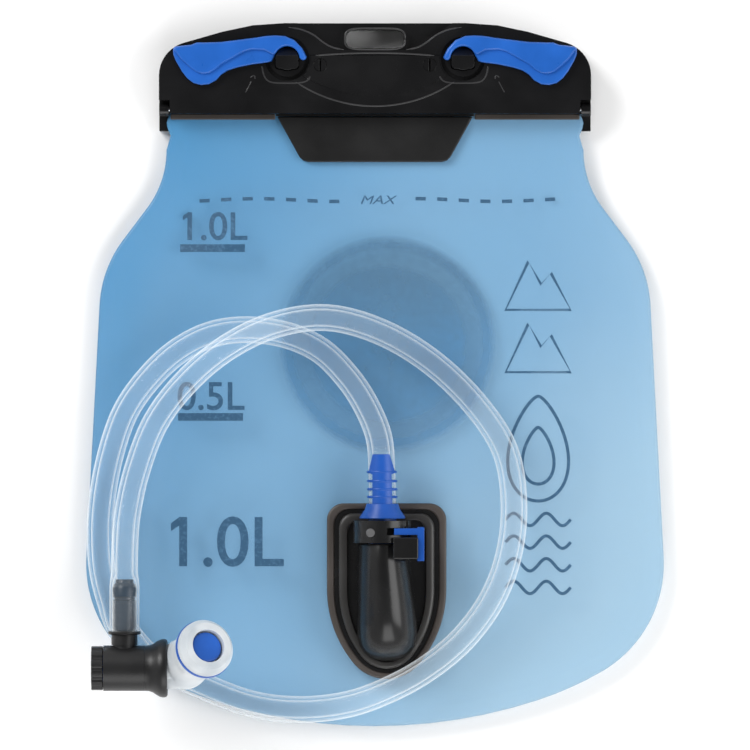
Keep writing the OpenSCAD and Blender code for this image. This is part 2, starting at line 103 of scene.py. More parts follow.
# ------------------------------------------------------------------- the hose
# One length of clear soft tube, 9.5 mm outside with a 6.4 mm bore. It is pushed
# over a barb at each end and lies on the bag in a turn and three quarters.
HOSE_D = 9.5 * MM
HOSE_BORE = 6.4 * MM
HOSE_SIDES = 28
HOSE_STEPS = 5
BARB_REACH = 20 * MM
HOSE_ROUTE = [
    (2.6, -45.2, 21), (2.4, -34, 21), (1.4, -22, 20.2), (-3, -11, 18.6),
    (-9.5, -1, 16.8), (-19, 8.5, 15.4), (-31, 14, 14.9), (-45, 16, 14.9),
    (-58, 14.2, 14.9), (-70, 8, 14.9), (-80, -1.5, 14.9), (-88, -13, 14),
    (-93, -27, 12.6), (-96, -42, 11.6), (-97, -57, 11.3),
    (-95.4, -73, 11.3), (-89, -89.7, 11.3), (-77, -101.5, 11.4),
    (-60, -110, 11.6), (-43, -116.2, 11.6), (-26, -118, 12),
    (-9, -116, 14), (6, -110.4, 16.2), (19, -103, 16),
    (31, -93, 15), (41, -79.5, 14.9), (47, -64, 14.9), (49, -46, 14.9),
    (46, -27, 14.9), (35.5, -10.5, 14.9), (20, 4.5, 15.4),
    (2, 15.2, 18.2), (-17, 20.2, 22.4), (-36, 17.4, 24.8),
    (-53, 9, 23.6), (-67, -3, 19.6), (-77.5, -17, 16.2),
    (-84, -34, 15.4), (-87.2, -49, 17.8), (-88, -61, 22.9),
    (-88, -72, 27.2), (-88, -81, 28), (-88, -90, 28)]


def smooth_path(points, steps):
    """A Catmull-Rom curve through the points."""
    ends = [points[0] * 2 - points[1]] + points + [points[-1] * 2 - points[-2]]
    path = []
    for a, b, c, d in zip(ends, ends[1:], ends[2:], ends[3:]):
        for i in range(steps):
            t = i / steps
            path.append(0.5 * (2 * b + (c - a) * t + (2 * a - 5 * b + 4 * c - d) * t ** 2
                               + (3 * b - a - 3 * c + d) * t ** 3))
    return path + [points[-1]]


def new_piece(name, vertices, faces, material, smooth=True):
    """A mesh object at the origin, with its doubles merged and its faces outwards."""
    mesh = bpy.data.meshes.new(name)
    mesh.from_pydata([tuple(v) for v in vertices], [], faces)
    shape = bmesh.new()
    shape.from_mesh(mesh)
    bmesh.ops.remove_doubles(shape, verts=shape.verts, dist=1e-7)
    bmesh.ops.recalc_face_normals(shape, faces=shape.faces)
    for face in shape.faces:
        face.smooth = smooth
    shape.to_mesh(mesh)
    shape.free()
    mesh.materials.append(material)
    piece = bpy.data.objects.new(name, mesh)
    bpy.context.scene.collection.objects.link(piece)
    return piece


def fixed(piece, body):
    """Fixes a piece to its body."""
    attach(piece, body)


def tube_rings(path, radii, sides):
    """Rings of points round a path, without twist, each with its own radius."""
    rings = []
    side = None
    for i, point in enumerate(path):
        ahead = (path[min(i + 1, len(path) - 1)] - path[max(i - 1, 0)]).normalized()
        side = ahead.cross(Vector((0, 0, 1))) if side is None else side
        side = (side - ahead * side.dot(ahead)).normalized()
        up = side.cross(ahead)
        rings.append([point + radii[i] * (math.cos(math.tau * k / sides) * side
                                          + math.sin(math.tau * k / sides) * up)
                      for k in range(sides)])
    return rings


def skin(rings, closed=False):
    """Quads between rings of equal size; a closed skin joins the last to the first."""
    sides = len(rings[0])
    faces = []
    for i in range(len(rings) if closed else len(rings) - 1):
        a, b = i * sides, (i + 1) % len(rings) * sides
        faces += [(a + k, a + (k + 1) % sides, b + (k + 1) % sides, b + k)
                  for k in range(sides)]
    return faces


def new_finish(name):
    """A fresh material, with its nodes, its links and its shader."""
    finish = bpy.data.materials.new(name)
    finish.use_nodes = True
    tree = finish.node_tree
    return finish, tree.nodes, tree.links, tree.nodes["Principled BSDF"]


def speckle(nodes, links, place, scale):
    """Noise on the piece's own coordinates."""
    spots = nodes.new("ShaderNodeTexNoise")
    spots.inputs["Scale"].default_value = scale
    links.new(place.outputs["Object"], spots.inputs["Vector"])
    return spots


def see_through(name, colour, clear, cloudy, roughness):
    """Clear plastic: nearly open face on, whiter and glossier towards its edges."""
    finish, nodes, links, body = new_finish(name)
    body.inputs["Roughness"].default_value = roughness
    body.inputs["Specular IOR Level"].default_value = 0.7
    place = nodes.new("ShaderNodeTexCoord")
    haze = speckle(nodes, links, place, 90)
    tint = nodes.new("ShaderNodeMixRGB")
    tint.inputs["Color1"].default_value = (*colour, 1)
    tint.inputs["Color2"].default_value = (0.97, 0.99, 1, 1)
    links.new(haze.outputs["Fac"], tint.inputs["Fac"])
    links.new(tint.outputs["Color"], body.inputs["Base Color"])
    edge = nodes.new("ShaderNodeLayerWeight")
    edge.inputs["Blend"].default_value = 0.35
    rim = nodes.new("ShaderNodeMapRange")
    rim.inputs["From Min"].default_value = 0.2
    rim.inputs["From Max"].default_value = 0.75
    rim.inputs["To Min"].default_value = clear
    rim.inputs["To Max"].default_value = cloudy
    links.new(edge.outputs["Facing"], rim.inputs["Value"])
    links.new(rim.outputs["Result"], body.inputs["Alpha"])
    return finish


hose_path = smooth_path([Vector(p) * MM for p in HOSE_ROUTE], HOSE_STEPS)
# the soft tube is stretched over the thicker barb at the bite valve's end
stretch = [max(0, min(1, (BARB_REACH - (p - hose_path[-1]).length) / (3 * MM)))
           for p in hose_path]
hose_clear = see_through("clear_tube", (0.86, 0.94, 0.98), 0.03, 0.62, 0.07)
hose_rings = (tube_rings(hose_path, [HOSE_D / 2 + 0.55 * MM * t for t in stretch], HOSE_SIDES)
              + tube_rings(hose_path, [HOSE_BORE / 2 + 1.2 * MM * t for t in stretch],
                           HOSE_SIDES)[::-1])
hose = new_piece("drinking_hose", [p for ring in hose_rings for p in ring],
                 skin(hose_rings, closed=True), hose_clear)
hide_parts("hose")
fixed(hose, "bladder")

# --------------------------------------------------------------- the rear film
# The back half of the bag: soft translucent blue film, welded to the front film
# in a 6 mm band all round. Its mouth runs on into the clamp.
FILM_T = 0.25 * MM
WELD_Z = 6.0 * MM
WELD_BAND = 6 * MM
SEAM_GAP = 0.04 * MM
SWELL_REACH = 27 * MM
MOUTH_FLAT, MOUTH_FULL = 74 * MM, 46 * MM
SPINE_ENDS = (-62 * MM, 52 * MM)
RIM_STEPS = [0, 1.2, 2.4, 3.6, 4.6, 5.3, 5.7, 6.1, 6.6, 7.2, 8.4]
INNER_RINGS = 44
BAG_STEPS = [(185, 18), (120, 12), (44, 63), (89.3, 0), (42, 34), (14, 0), (34, -37)]
NECK = [(72.2, 84.5), (73.2, 87), (73.6, 89), (73.2, 90.6), (72.4, 92), (72.2, 94), (72.2, 97),
        (72.2, 100)]


def walk(start, heading, steps, pitch=3):
    """Points of an outline made of arcs (radius, turn) and straight runs (length, 0)."""
    x, y = start
    points = [(x, y)]
    for size, turn in steps:
        h = math.radians(heading)
        if turn == 0:
            count = max(1, round(size / 4))
            points += [(x + size * i / count * math.cos(h), y + size * i / count * math.sin(h))
                       for i in range(1, count + 1)]
        else:
            d = math.copysign(1, turn)
            cx, cy = x - d * size * math.sin(h), y + d * size * math.cos(h)
            count = math.ceil(abs(turn) / pitch)
            for i in range(1, count + 1):
                a = h + math.radians(turn) * i / count
                points.append((cx + d * size * math.sin(a), cy - d * size * math.cos(a)))
        x, y = points[-1]
        heading += turn
    return points


film_half = walk((0, -124.1), 0, BAG_STEPS) + NECK
welded_edge = np.array(film_half + [(-x, y) for x, y in reversed(film_half[1:])]) * MM
mouth_edge = np.array([(72.2 - 144.4 * i / 32, 100) for i in range(1, 32)]) * MM
film_outline = np.concatenate((welded_edge[:len(film_half)], mouth_edge,
                               welded_edge[len(film_half):]))
# the weld has no end at the mouth, so its line stops there
weld_line = np.concatenate((welded_edge[len(film_half):], welded_edge[:len(film_half)]))


def edge_distance(points):
    """Distance of each point to the welded edge."""
    start, along = weld_line[:-1], np.diff(weld_line, axis=0)
    off = points[:, None, :] - start[None]
    share = np.clip((off * along).sum(2) / (along ** 2).sum(1), 0, 1)
    return np.linalg.norm(off - share[..., None] * along, axis=2).min(1)


def eased(value, low, high):
    """0 below low, 1 above high, and smooth between them."""
    t = np.clip((value - low) / (high - low), 0, 1)
    return t * t * (3 - 2 * t)


def film_heights(points, side):
    """Heights of the front film (side 1) or the rear film (side -1) at the points."""
    reach = edge_distance(points)
    full = eased(reach, WELD_BAND, WELD_BAND + SWELL_REACH) * eased(
        points[:, 1], MOUTH_FLAT, MOUTH_FULL)
    inside = eased(reach, WELD_BAND - 0.8 * MM, WELD_BAND + 0.8 * MM)
    near_tab = eased(points[:, 1], 62 * MM, 74 * MM) * eased(
        46 * MM - np.abs(points[:, 0]), 0, 12 * MM)
    loose = eased(reach, WELD_BAND, WELD_BAND + 12 * MM) * (1 - near_tab) * eased(
        -points[:, 1], -92 * MM, -80 * MM)
    waves = np.array([0.6 * noise.noise(Vector((x * 21 + side, y * 17, 0.3)))
                      + 0.3 * noise.noise(Vector((x * 52 - y * 30, y * 24, side)))
                      for x, y in points])
    if side > 0:
        return (WELD_Z + FILM_T + SEAM_GAP + 0.12 * MM * inside + 3.2 * MM * full
                + waves * 0.42 * MM * loose)
    return np.maximum(WELD_Z - FILM_T - SEAM_GAP - 0.12 * MM * inside - 5.2 * MM * full
                      + waves * 0.4 * MM * loose * full, 0.05 * MM)


def film_mesh(name, side, material):
    """A film as rings from its outline inwards, with an even thickness."""
    count = len(film_outline)
    along = np.roll(film_outline, -1, axis=0) - np.roll(film_outline, 1, axis=0)
    square = np.stack((-along[:, 1], along[:, 0]), 1)
    square /= np.linalg.norm(square, axis=1)[:, None]
    # every ring closes in on a spine along the bag, so that no two rays cross
    spine = np.stack((np.zeros(count), np.clip(film_outline[:, 1], *SPINE_ENDS)), 1)
    ray = spine - film_outline
    ray /= np.linalg.norm(ray, axis=1)[:, None]
    slant = np.maximum(np.abs((ray * square).sum(1)), 0.45)[:, None]
    rims = [film_outline + ray / slant * step * MM for step in RIM_STEPS]
    flat = np.concatenate(rims + [rims[-1] + (spine - rims[-1]) * i / INNER_RINGS
                                  for i in range(1, INNER_RINGS + 1)])
    heights = film_heights(flat, side)
    vertices = [(x, y, z) for (x, y), z in zip(flat, heights)]
    faces = [(a + k, a + (k + 1) % count, a + count + (k + 1) % count, a + count + k)
             for a in range(0, len(flat) - count, count) for k in range(count)]
    film = new_piece(name, vertices, faces, material)
    if sum(f.normal.z * f.area for f in film.data.polygons) * side < 0:
        film.data.flip_normals()
    wall = film.modifiers.new("thickness", "SOLIDIFY")
    wall.thickness = FILM_T
    wall.offset = -1
    return film


def shade_ramp(nodes, stops):
    """A colour ramp through (position, colour) stops."""
    ramp = nodes.new("ShaderNodeValToRGB")
    ends = ramp.color_ramp.elements
    for end, (spot, colour) in ((ends[0], stops[0]), (ends[1], stops[-1])):
        end.position = spot
        end.color = (*colour, 1)
    for spot, colour in stops[1:-1]:
        ends.new(spot).color = (*colour, 1)
    return ramp


def roughen(nodes, links, body, texture, strength, distance):
    """A fine bump in the surface, from a noise texture."""
    bump = nodes.new("ShaderNodeBump")
    bump.inputs["Strength"].default_value = strength
    bump.inputs["Distance"].default_value = distance
    links.new(texture.outputs["Fac"], bump.inputs["Height"])
    links.new(bump.outputs["Normal"], body.inputs["Normal"])


def film_finish(name, light, alpha):
    """Translucent matt film: milky blue, deeper towards the mouth's left end, partly from the
    film's depth there and partly painted shade.
    """
    finish, nodes, links, body = new_finish(name)
    body.inputs["Roughness"].default_value = 0.38
    body.inputs["Specular IOR Level"].default_value = 0.35
    body.inputs["Alpha"].default_value = alpha
    place = nodes.new("ShaderNodeTexCoord")
    # a slope across the bag, darker towards the upper left: partly the film's depth, partly
    # painted shade
    depth_and_shade_slope = nodes.new("ShaderNodeVectorMath")
    depth_and_shade_slope.operation = "DOT_PRODUCT"
    depth_and_shade_slope.inputs[1].default_value = (3.13, -2.40, 0)
    links.new(place.outputs["Object"], depth_and_shade_slope.inputs[0])
    cloud = speckle(nodes, links, place, 12)
    cloud.inputs["Detail"].default_value = 2
    blend = nodes.new("ShaderNodeMath")
    blend.operation = "MULTIPLY_ADD"
    blend.inputs[1].default_value = 0.22
    links.new(cloud.outputs["Fac"], blend.inputs[0])
    links.new(depth_and_shade_slope.outputs["Value"], blend.inputs[2])
    tint_and_painted_shade = shade_ramp(nodes, [(spot, [c * light for c in colour]) for spot, colour in (
        (0.0, (0.085, 0.31, 0.56)), (0.5, (0.235, 0.455, 0.66)), (1.0, (0.40, 0.59, 0.73)))])
    tint_and_painted_shade.color_ramp.interpolation = "EASE"
    level = nodes.new("ShaderNodeMath")
    level.inputs[1].default_value = 0.40
    links.new(blend.outputs["Value"], level.inputs[0])
    links.new(level.outputs["Value"], tint_and_painted_shade.inputs["Fac"])
    links.new(tint_and_painted_shade.outputs["Color"], body.inputs["Base Color"])
    grain = speckle(nodes, links, place, 1400)
    roughen(nodes, links, body, grain, 0.1, 0.0001)
    return finish


# the rear film's colours are painted 5 % lighter, to make up for the shade that the front film
# throws on it
rear_film = film_mesh("rear_film", -1, film_finish("rear_film_blue", 1.05, 0.85))
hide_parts("rear_panel")
fixed(rear_film, "bladder")

# ------------------------------------------------------------- the front film
# The front half of the bag, of the same film, and the ink printed on it: the
# fill marks, a dashed line and a plain motif of hills, a drop and waves.
front_film = film_mesh("front_film", 1, film_finish("front_film_blue", 1.0, 0.17))
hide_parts("front_panel")
fixed(front_film, "bladder")


def ink_finish(name, colour, alpha):
    """Matt ink with the small gaps of a screen print."""
    finish, nodes, links, body = new_finish(name)
    body.inputs["Roughness"].default_value = 0.5
    body.inputs["Alpha"].default_value = alpha
    place = nodes.new("ShaderNodeTexCoord")
    speck = speckle(nodes, links, place, 900)
    ramp = shade_ramp(nodes, [(0.3, [c * 1.35 + 0.02 for c in colour]), (0.5, colour)])
    links.new(speck.outputs["Fac"], ramp.inputs["Fac"])
    links.new(ramp.outputs["Color"], body.inputs["Base Color"])
    return finish


def on_film(points, lift=0.1):
    """Points in millimetres laid on the front film, a little above it."""
    flat = np.array(points) * MM
    return [(x, y, z + lift * MM) for (x, y), z in zip(flat, film_heights(flat, 1))]


def strip(points, width, closed=False):
    """Quads of a line of even width through points in millimetres."""
    points = [Vector(p) for p in points]
    vertices, faces = [], []
    count = len(points)
    for i, p in enumerate(points):
        before = points[i - 1] if closed or i else p
        after = points[(i + 1) % count] if closed or i < count - 1 else p
        ahead = (after - before).normalized()
        across = Vector((-ahead.y, ahead.x)) * width / 2
        vertices += [tuple(p + across), tuple(p - across)]
    for i in range(count if closed else count - 1):
        a, b = 2 * i, 2 * ((i + 1) % count)
        faces.append((a, a + 1, b + 1, b))
    return vertices, faces


def joined(parts):
    """Several (vertices, faces) as one."""
    vertices, faces = [], []
    for v, f in parts:
        faces += [tuple(i + len(vertices) for i in face) for face in f]
        vertices += v
    return vertices, faces


def facing_up(piece):
    """Turns every face of a flat print upwards."""
    shape = bmesh.new()
    shape.from_mesh(piece.data)
    bmesh.ops.reverse_faces(shape, faces=[f for f in shape.faces if f.normal.z < 0])
    shape.to_mesh(piece.data)
    shape.free()
    return piece


def printed_words(name, words, middle, height, slant, stretch, ink):
    """Letters of a plain face as a mesh that follows the film."""
    curve = bpy.data.curves.new(name, "FONT")
    curve.body = words
    curve.align_x = "CENTER"
    curve.size = 1
    curve.shear = slant
    curve.resolution_u = 6
    curve.offset = 0.008 if height > 5 else 0
    holder = bpy.data.objects.new(name, curve)
    bpy.context.scene.collection.objects.link(holder)
    bpy.context.view_layer.update()
    mesh = bpy.data.meshes.new_from_object(holder.evaluated_get(
        bpy.context.evaluated_depsgraph_get()))
    bpy.data.objects.remove(holder)
    tall = max(v.co.y for v in mesh.vertices)
    scale = height / tall
    vertices = on_film([(middle[0] + v.co.x * scale * stretch, middle[1] + v.co.y * scale)
                        for v in mesh.vertices])
    faces = [tuple(p.vertices) for p in mesh.polygons]
    bpy.data.meshes.remove(mesh)
    if words[0] == "1":
        # the figure's flag, which the plain face leaves out
        x, y = min(v[0] for v in vertices) / MM, middle[1] + height
        flag = [(x + 0.4, y), (x + 0.4, y - 0.17 * height), (x - 0.17 * height, y - 0.3 * height),
                (x - 0.17 * height, y - 0.14 * height)]
        faces.append(tuple(range(len(vertices), len(vertices) + 4)))
        vertices += on_film(flag)
    piece = facing_up(new_piece(name, vertices, faces, ink, smooth=False))
    fixed(piece, "bladder")
    return piece


ink = ink_finish("navy_ink", (0.018, 0.075, 0.15), 0.92)
printed_words("fill_mark_full", "1.0L", (-57, 47.8), 9.8, 0, 1.0, ink)
printed_words("fill_mark_half", "0.5L", (-58, -12.2), 9.8, 0, 1.0, ink)
printed_words("volume_mark", "1.0L", (-53, -67.3), 17.4, 0, 0.98, ink)
printed_words("fill_limit", "MAX", (0.7, 60.4), 3.0, 0.3, 1.3, ink)


def drop_loop(middle, wide, tall, count=64):
    """The outline of a water drop with its point upwards."""
    loop = []
    for i in range(count):
        a = math.tau * i / count
        squeeze = 0.5 * (1 - math.sin(a)) ** 0.5 * 1.1
        loop.append((middle[0] + wide / 2 * math.cos(a) * (0.35 + squeeze),
                     middle[1] + tall / 2 * math.sin(a)))
    return loop


def repeat_tree():
    """One print repeated in a row, with an empty gap at the row's middle."""
    tree = bpy.data.node_groups.new("repeated_print", "GeometryNodeTree")
    for label, kind in (("Print", "Geometry"), ("Count", "Int"), ("Start", "Vector"),
                        ("Step", "Vector"), ("Gap", "Float"), ("Ink", "Material")):
        tree.interface.new_socket(label, in_out="INPUT", socket_type="NodeSocket" + kind)
    tree.interface.new_socket("Prints", in_out="OUTPUT", socket_type="NodeSocketGeometry")
    nodes, links = tree.nodes, tree.links
    given = nodes.new("NodeGroupInput")
    row = nodes.new("GeometryNodeMeshLine")
    row.mode = "OFFSET"
    links.new(given.outputs["Count"], row.inputs["Count"])
    links.new(given.outputs["Start"], row.inputs["Start Location"])
    links.new(given.outputs["Step"], row.inputs["Offset"])
    spot = nodes.new("GeometryNodeInputPosition")
    apart = nodes.new("ShaderNodeSeparateXYZ")
    links.new(spot.outputs["Position"], apart.inputs["Vector"])
    reach = nodes.new("ShaderNodeMath")
    reach.operation = "ABSOLUTE"
    links.new(apart.outputs["X"], reach.inputs[0])
    clear = nodes.new("FunctionNodeCompare")
    clear.operation = "GREATER_EQUAL"
    links.new(reach.outputs["Value"], clear.inputs[0])
    links.new(given.outputs["Gap"], clear.inputs[1])
    copies = nodes.new("GeometryNodeInstanceOnPoints")
    links.new(row.outputs["Mesh"], copies.inputs["Points"])
    links.new(clear.outputs["Result"], copies.inputs["Selection"])
    links.new(given.outputs["Print"], copies.inputs["Instance"])
    real = nodes.new("GeometryNodeRealizeInstances")
    links.new(copies.outputs["Instances"], real.inputs["Geometry"])
    inked = nodes.new("GeometryNodeSetMaterial")
    links.new(real.outputs["Geometry"], inked.inputs["Geometry"])
    links.new(given.outputs["Ink"], inked.inputs["Material"])
    out = nodes.new("NodeGroupOutput")
    links.new(inked.outputs["Geometry"], out.inputs["Prints"])
    return tree


prints_tree = repeat_tree()


def repeated(shape, count, start, step, gap=0.0):
    """The points and faces of a flat print repeated in a row, in millimetres."""
    flat, faces = shape
    one = new_piece("one_print", [(x, y, 0) for x, y in flat], faces, ink, smooth=False)
    rows = one.modifiers.new("rows", "NODES")
    rows.node_group = prints_tree
    sizes = {"Count": count, "Start": (*start, 0.0), "Step": (*step, 0.0), "Gap": gap,
             "Ink": ink}
    for socket in prints_tree.interface.items_tree:
        if socket.name in sizes:
            rows[socket.identifier] = sizes[socket.name]
    mesh = bpy.data.meshes.new_from_object(
        one.evaluated_get(bpy.context.evaluated_depsgraph_get()))
    result = ([(v.co.x, v.co.y) for v in mesh.vertices],
              [tuple(p.vertices) for p in mesh.polygons])
    bpy.data.objects.remove(one)
    bpy.data.meshes.remove(mesh)
    return result


DASH, DASH_PITCH, DASH_LIMIT, WORD_GAP = 3.6, 7.63, 60.9, 12.0
LINE_X, LINE_Y = 0.7, 61.8
line, line_faces = repeated(strip([(-DASH / 2, 0), (DASH / 2, 0)], 1.25), 17,
                            (-DASH_LIMIT, 0), (DASH_PITCH, 0), WORD_GAP)
line_part = ([(x + LINE_X, y + LINE_Y + 0.5 * math.sin(x / 9)) for x, y in line], line_faces)
bar_part = repeated(strip([(22.9 * i / 8, 0) for i in range(9)], 2.7), 2,
                    (-68.8, 44.8), (-0.7, -59.6))
MOTIF_X = 57.6
MOTIF_HALF = 11.5
wave_part = repeated(strip([(2 * MOTIF_HALF * i / 40, 2.2 * math.sin(math.tau * i / 20))
                            for i in range(41)], 1.1), 4, (MOTIF_X - MOTIF_HALF, -51), (0, -8))
peak_part = repeated(strip([(-MOTIF_HALF, 0), (-3.5, 17), (1, 9), (4.5, 13), (MOTIF_HALF, 0)],
                           1.1, closed=True), 2, (MOTIF_X, 23), (0, -22))
drop_part = joined([strip(drop_loop((MOTIF_X, -26), 23, 37), 1.1, closed=True),
                    strip(drop_loop((MOTIF_X, -28.5), 12, 20), 1.1, closed=True)])
for name, (flat, faces) in (("fill_line", line_part), ("fill_bars", bar_part),
                            ("motif_hills", peak_part), ("motif_drop", drop_part),
                            ("motif_waves", wave_part)):
    piece = facing_up(new_piece(name, on_film(flat), faces, ink, smooth=False))
    fixed(piece, "bladder")

# ---------------------------------------------------------- the printed seal
# A round print on the rear film, inside the bag. The milky front film in front
# of it softens every edge, so its ink fades out over a millimetre or two.
SEAL_AT = Vector((4.5, 11.0)) * MM
SEAL_R = 38.5 * MM


def seal_finish():
    """Rings of soft-edged ink round a dark middle, by distance from the centre."""
    finish, nodes, links, body = new_finish("seal_ink")
    body.inputs["Roughness"].default_value = 0.6
    place = nodes.new("ShaderNodeTexCoord")
    centre = nodes.new("ShaderNodeMapping")
    centre.inputs["Location"].default_value = (-SEAL_AT.x, -SEAL_AT.y, 0)
    links.new(place.outputs["Object"], centre.inputs["Vector"])
    flat = nodes.new("ShaderNodeVectorMath")
    flat.operation = "MULTIPLY"
    flat.inputs[1].default_value = (1 / SEAL_R, 1 / SEAL_R, 0)
    links.new(centre.outputs["Vector"], flat.inputs[0])
    apart = nodes.new("ShaderNodeSeparateXYZ")
    links.new(flat.outputs["Vector"], apart.inputs["Vector"])
    shade = shade_ramp(nodes, [(0, (0.008, 0.13, 0.31)), (0.62, (0.004, 0.055, 0.14))])
    links.new(apart.outputs["Y"], shade.inputs["Fac"])
    links.new(shade.outputs["Color"], body.inputs["Base Color"])
    far = nodes.new("ShaderNodeVectorMath")
    far.operation = "LENGTH"
    links.new(flat.outputs["Vector"], far.inputs[0])
    stops = [(0.0, 0.75), (0.14, 0.75), (0.2, 0.9), (0.42, 0.9), (0.54, 1.0), (0.68, 1.0),
             (0.74, 0.55), (0.85, 0.55), (0.89, 0.9), (0.93, 0.9), (1.0, 0.0)]
    ramp = shade_ramp(nodes, [(spot, [value] * 3) for spot, value in stops])
    links.new(far.outputs["Value"], ramp.inputs["Fac"])
    speck = speckle(nodes, links, place, 240)
    wear = nodes.new("ShaderNodeMapRange")
    wear.inputs["To Min"].default_value = 0.55
    wear.inputs["To Max"].default_value = 1.15
    links.new(speck.outputs["Fac"], wear.inputs["Value"])
    cover = nodes.new("ShaderNodeMath")
    cover.operation = "MULTIPLY"
    cover.use_clamp = True
    links.new(ramp.outputs["Color"], cover.inputs[0])
    links.new(wear.outputs["Result"], cover.inputs[1])
    links.new(cover.outputs["Value"], body.inputs["Alpha"])
    return finish


seal_rings, seal_sides = 12, 72
seal_z = 4.2 * MM
seal_points = [(SEAL_AT.x, SEAL_AT.y, seal_z)]
seal_faces = []
for r in range(1, seal_rings + 1):
    for k in range(seal_sides):
        a = math.tau * k / seal_sides
        seal_points.append((SEAL_AT.x + SEAL_R * r / seal_rings * math.cos(a),
                            SEAL_AT.y + SEAL_R * r / seal_rings * math.sin(a), seal_z))
    for k in range(seal_sides):
        a, b = 1 + (r - 1) * seal_sides + k, 1 + (r - 1) * seal_sides + (k + 1) % seal_sides
        if r == 1:
            seal_faces.append((0, a, b))
        else:
            seal_faces.append((a - seal_sides, a, b, b - seal_sides))
seal = facing_up(new_piece("printed_seal", seal_points, seal_faces, seal_finish(), smooth=False))
fixed(seal, "bladder")

# ------------------------------------------------------------- the clamp jaws
# Two black nylon mouldings, hinged at both ends, that pinch the bag's mouth.
# Their edges are moulded round, and the rear one carries the lever posts.


def moulded(name, colour, roughness, grain=0.25, scale=1500):
    """Moulded plastic: faint clouding, a fine spark-eroded grain and soft gloss."""
    finish, nodes, links, body = new_finish(name)
    body.inputs["Specular IOR Level"].default_value = 0.35
    place = nodes.new("ShaderNodeTexCoord")
    cloud = speckle(nodes, links, place, 60)
    cloud.inputs["Detail"].default_value = 4
    ramp = shade_ramp(nodes, [(0.3, [c * 0.85 for c in colour]),
                              (0.7, [min(1, c * 1.15 + 0.002) for c in colour])])
    links.new(cloud.outputs["Fac"], ramp.inputs["Fac"])
    links.new(ramp.outputs["Color"], body.inputs["Base Color"])
    gloss = nodes.new("ShaderNodeMapRange")
    gloss.inputs["To Min"].default_value = roughness - 0.06
    gloss.inputs["To Max"].default_value = roughness + 0.08
    links.new(cloud.outputs["Fac"], gloss.inputs["Value"])
    links.new(gloss.outputs["Result"], body.inputs["Roughness"])
    fine = speckle(nodes, links, place, scale)
    roughen(nodes, links, body, fine, grain, 0.00008)
    return finish


def recoat(node, finish):
    """Gives a CAD part its finish."""
    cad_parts[node].data.materials.clear()
    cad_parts[node].data.materials.append(finish)


def softened(node, name, body, material, radius, angle=32):
    """A copy of a CAD part with the round edges that its mould gives it."""
    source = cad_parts[node].data
    mesh = source.copy()
    mesh.materials.clear()
    mesh.materials.append(material)
    shape = bmesh.new()
    shape.from_mesh(mesh)
    bmesh.ops.remove_doubles(shape, verts=shape.verts, dist=2e-6)
    bmesh.ops.dissolve_limit(shape, angle_limit=math.radians(0.6), verts=shape.verts,
                             edges=shape.edges)
    for face in shape.faces:
        face.smooth = True
        face.material_index = 0
    shape.to_mesh(mesh)
    shape.free()
    mesh.set_sharp_from_angle(angle=math.radians(angle))
    piece = bpy.data.objects.new(name, mesh)
    bpy.context.scene.collection.objects.link(piece)
    edge = piece.modifiers.new("round_edges", "BEVEL")
    edge.width = radius
    edge.segments = 3
    edge.limit_method = "ANGLE"
    edge.angle_limit = math.radians(angle)
    edge.harden_normals = True
    edge.use_clamp_overlap = True
    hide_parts(node)
    fixed(piece, body)
    return piece


jaw_black = moulded("jaw_nylon", (0.0055, 0.0055, 0.006), 0.22, 0.12)
plate_black = moulded("plate_nylon", (0.0055, 0.0055, 0.006), 0.26, 0.2)
steel = moulded("bright_steel", (0.62, 0.63, 0.65), 0.25, 0.05)
steel.node_tree.nodes["Principled BSDF"].inputs["Metallic"].default_value = 1
softened("rear_jaw", "rear_jaw_moulding", "bladder", jaw_black, 0.5 * MM)
softened("front_jaw", "front_jaw_moulding", "upper_jaw", jaw_black, 0.8 * MM)
softened("centre_plate", "centre_plate_moulding", "upper_jaw", plate_black,
         0.2 * MM)
softened("snap_pins", "snap_pin_heads", "upper_jaw", jaw_black, 0.12 * MM)
recoat("hinge_pins", steel)

# ------------------------------------------------- raised lines of the clamp
# Fine glossy ribs on the front jaw, where its moulded edges catch the light: round the hang slot,
# above and below the centre plate, beside the slot, under each post, and a plain turn arrow.
# Their grey, lighter than the jaw, is painted highlight.
LINE_R = 0.32
LINE_Z = 13.95
# a lever passes over some of the lines, which stand only this far out of the face
FACE_Z, LOW = 14.0, 0.04
POST_LINE_R, ARROW_R = 0.9, 0.5
LINE_SIDES = 24
POST_X, POST_Y = 31, 111.5
# a grey well above the jaw's black: painted highlight along the ribs
rib_and_highlight_grey = moulded("rib_painted_highlight", (0.034, 0.034, 0.035), 0.2, 0.05)


def raised_line(name, points, body, closed=False, radius=LINE_R, height=LINE_Z):
    """A half-round rib through points in millimetres, on the jaw's face."""
    route = smooth_path([Vector((x, y, height)) * MM for x, y in points], 4)
    rings = tube_rings(route, [radius * MM * (1 if closed or 1 < i < len(route) - 2 else 0.5)
                               for i in range(len(route))], LINE_SIDES)
    last = LINE_SIDES * (len(rings) - 1)
    faces = skin(rings) + [tuple(range(LINE_SIDES)), tuple(range(last, last + LINE_SIDES))]
    rib_piece = new_piece(name, [p for ring in rings for p in ring], faces, rib_and_highlight_grey)
    fixed(rib_piece, body)


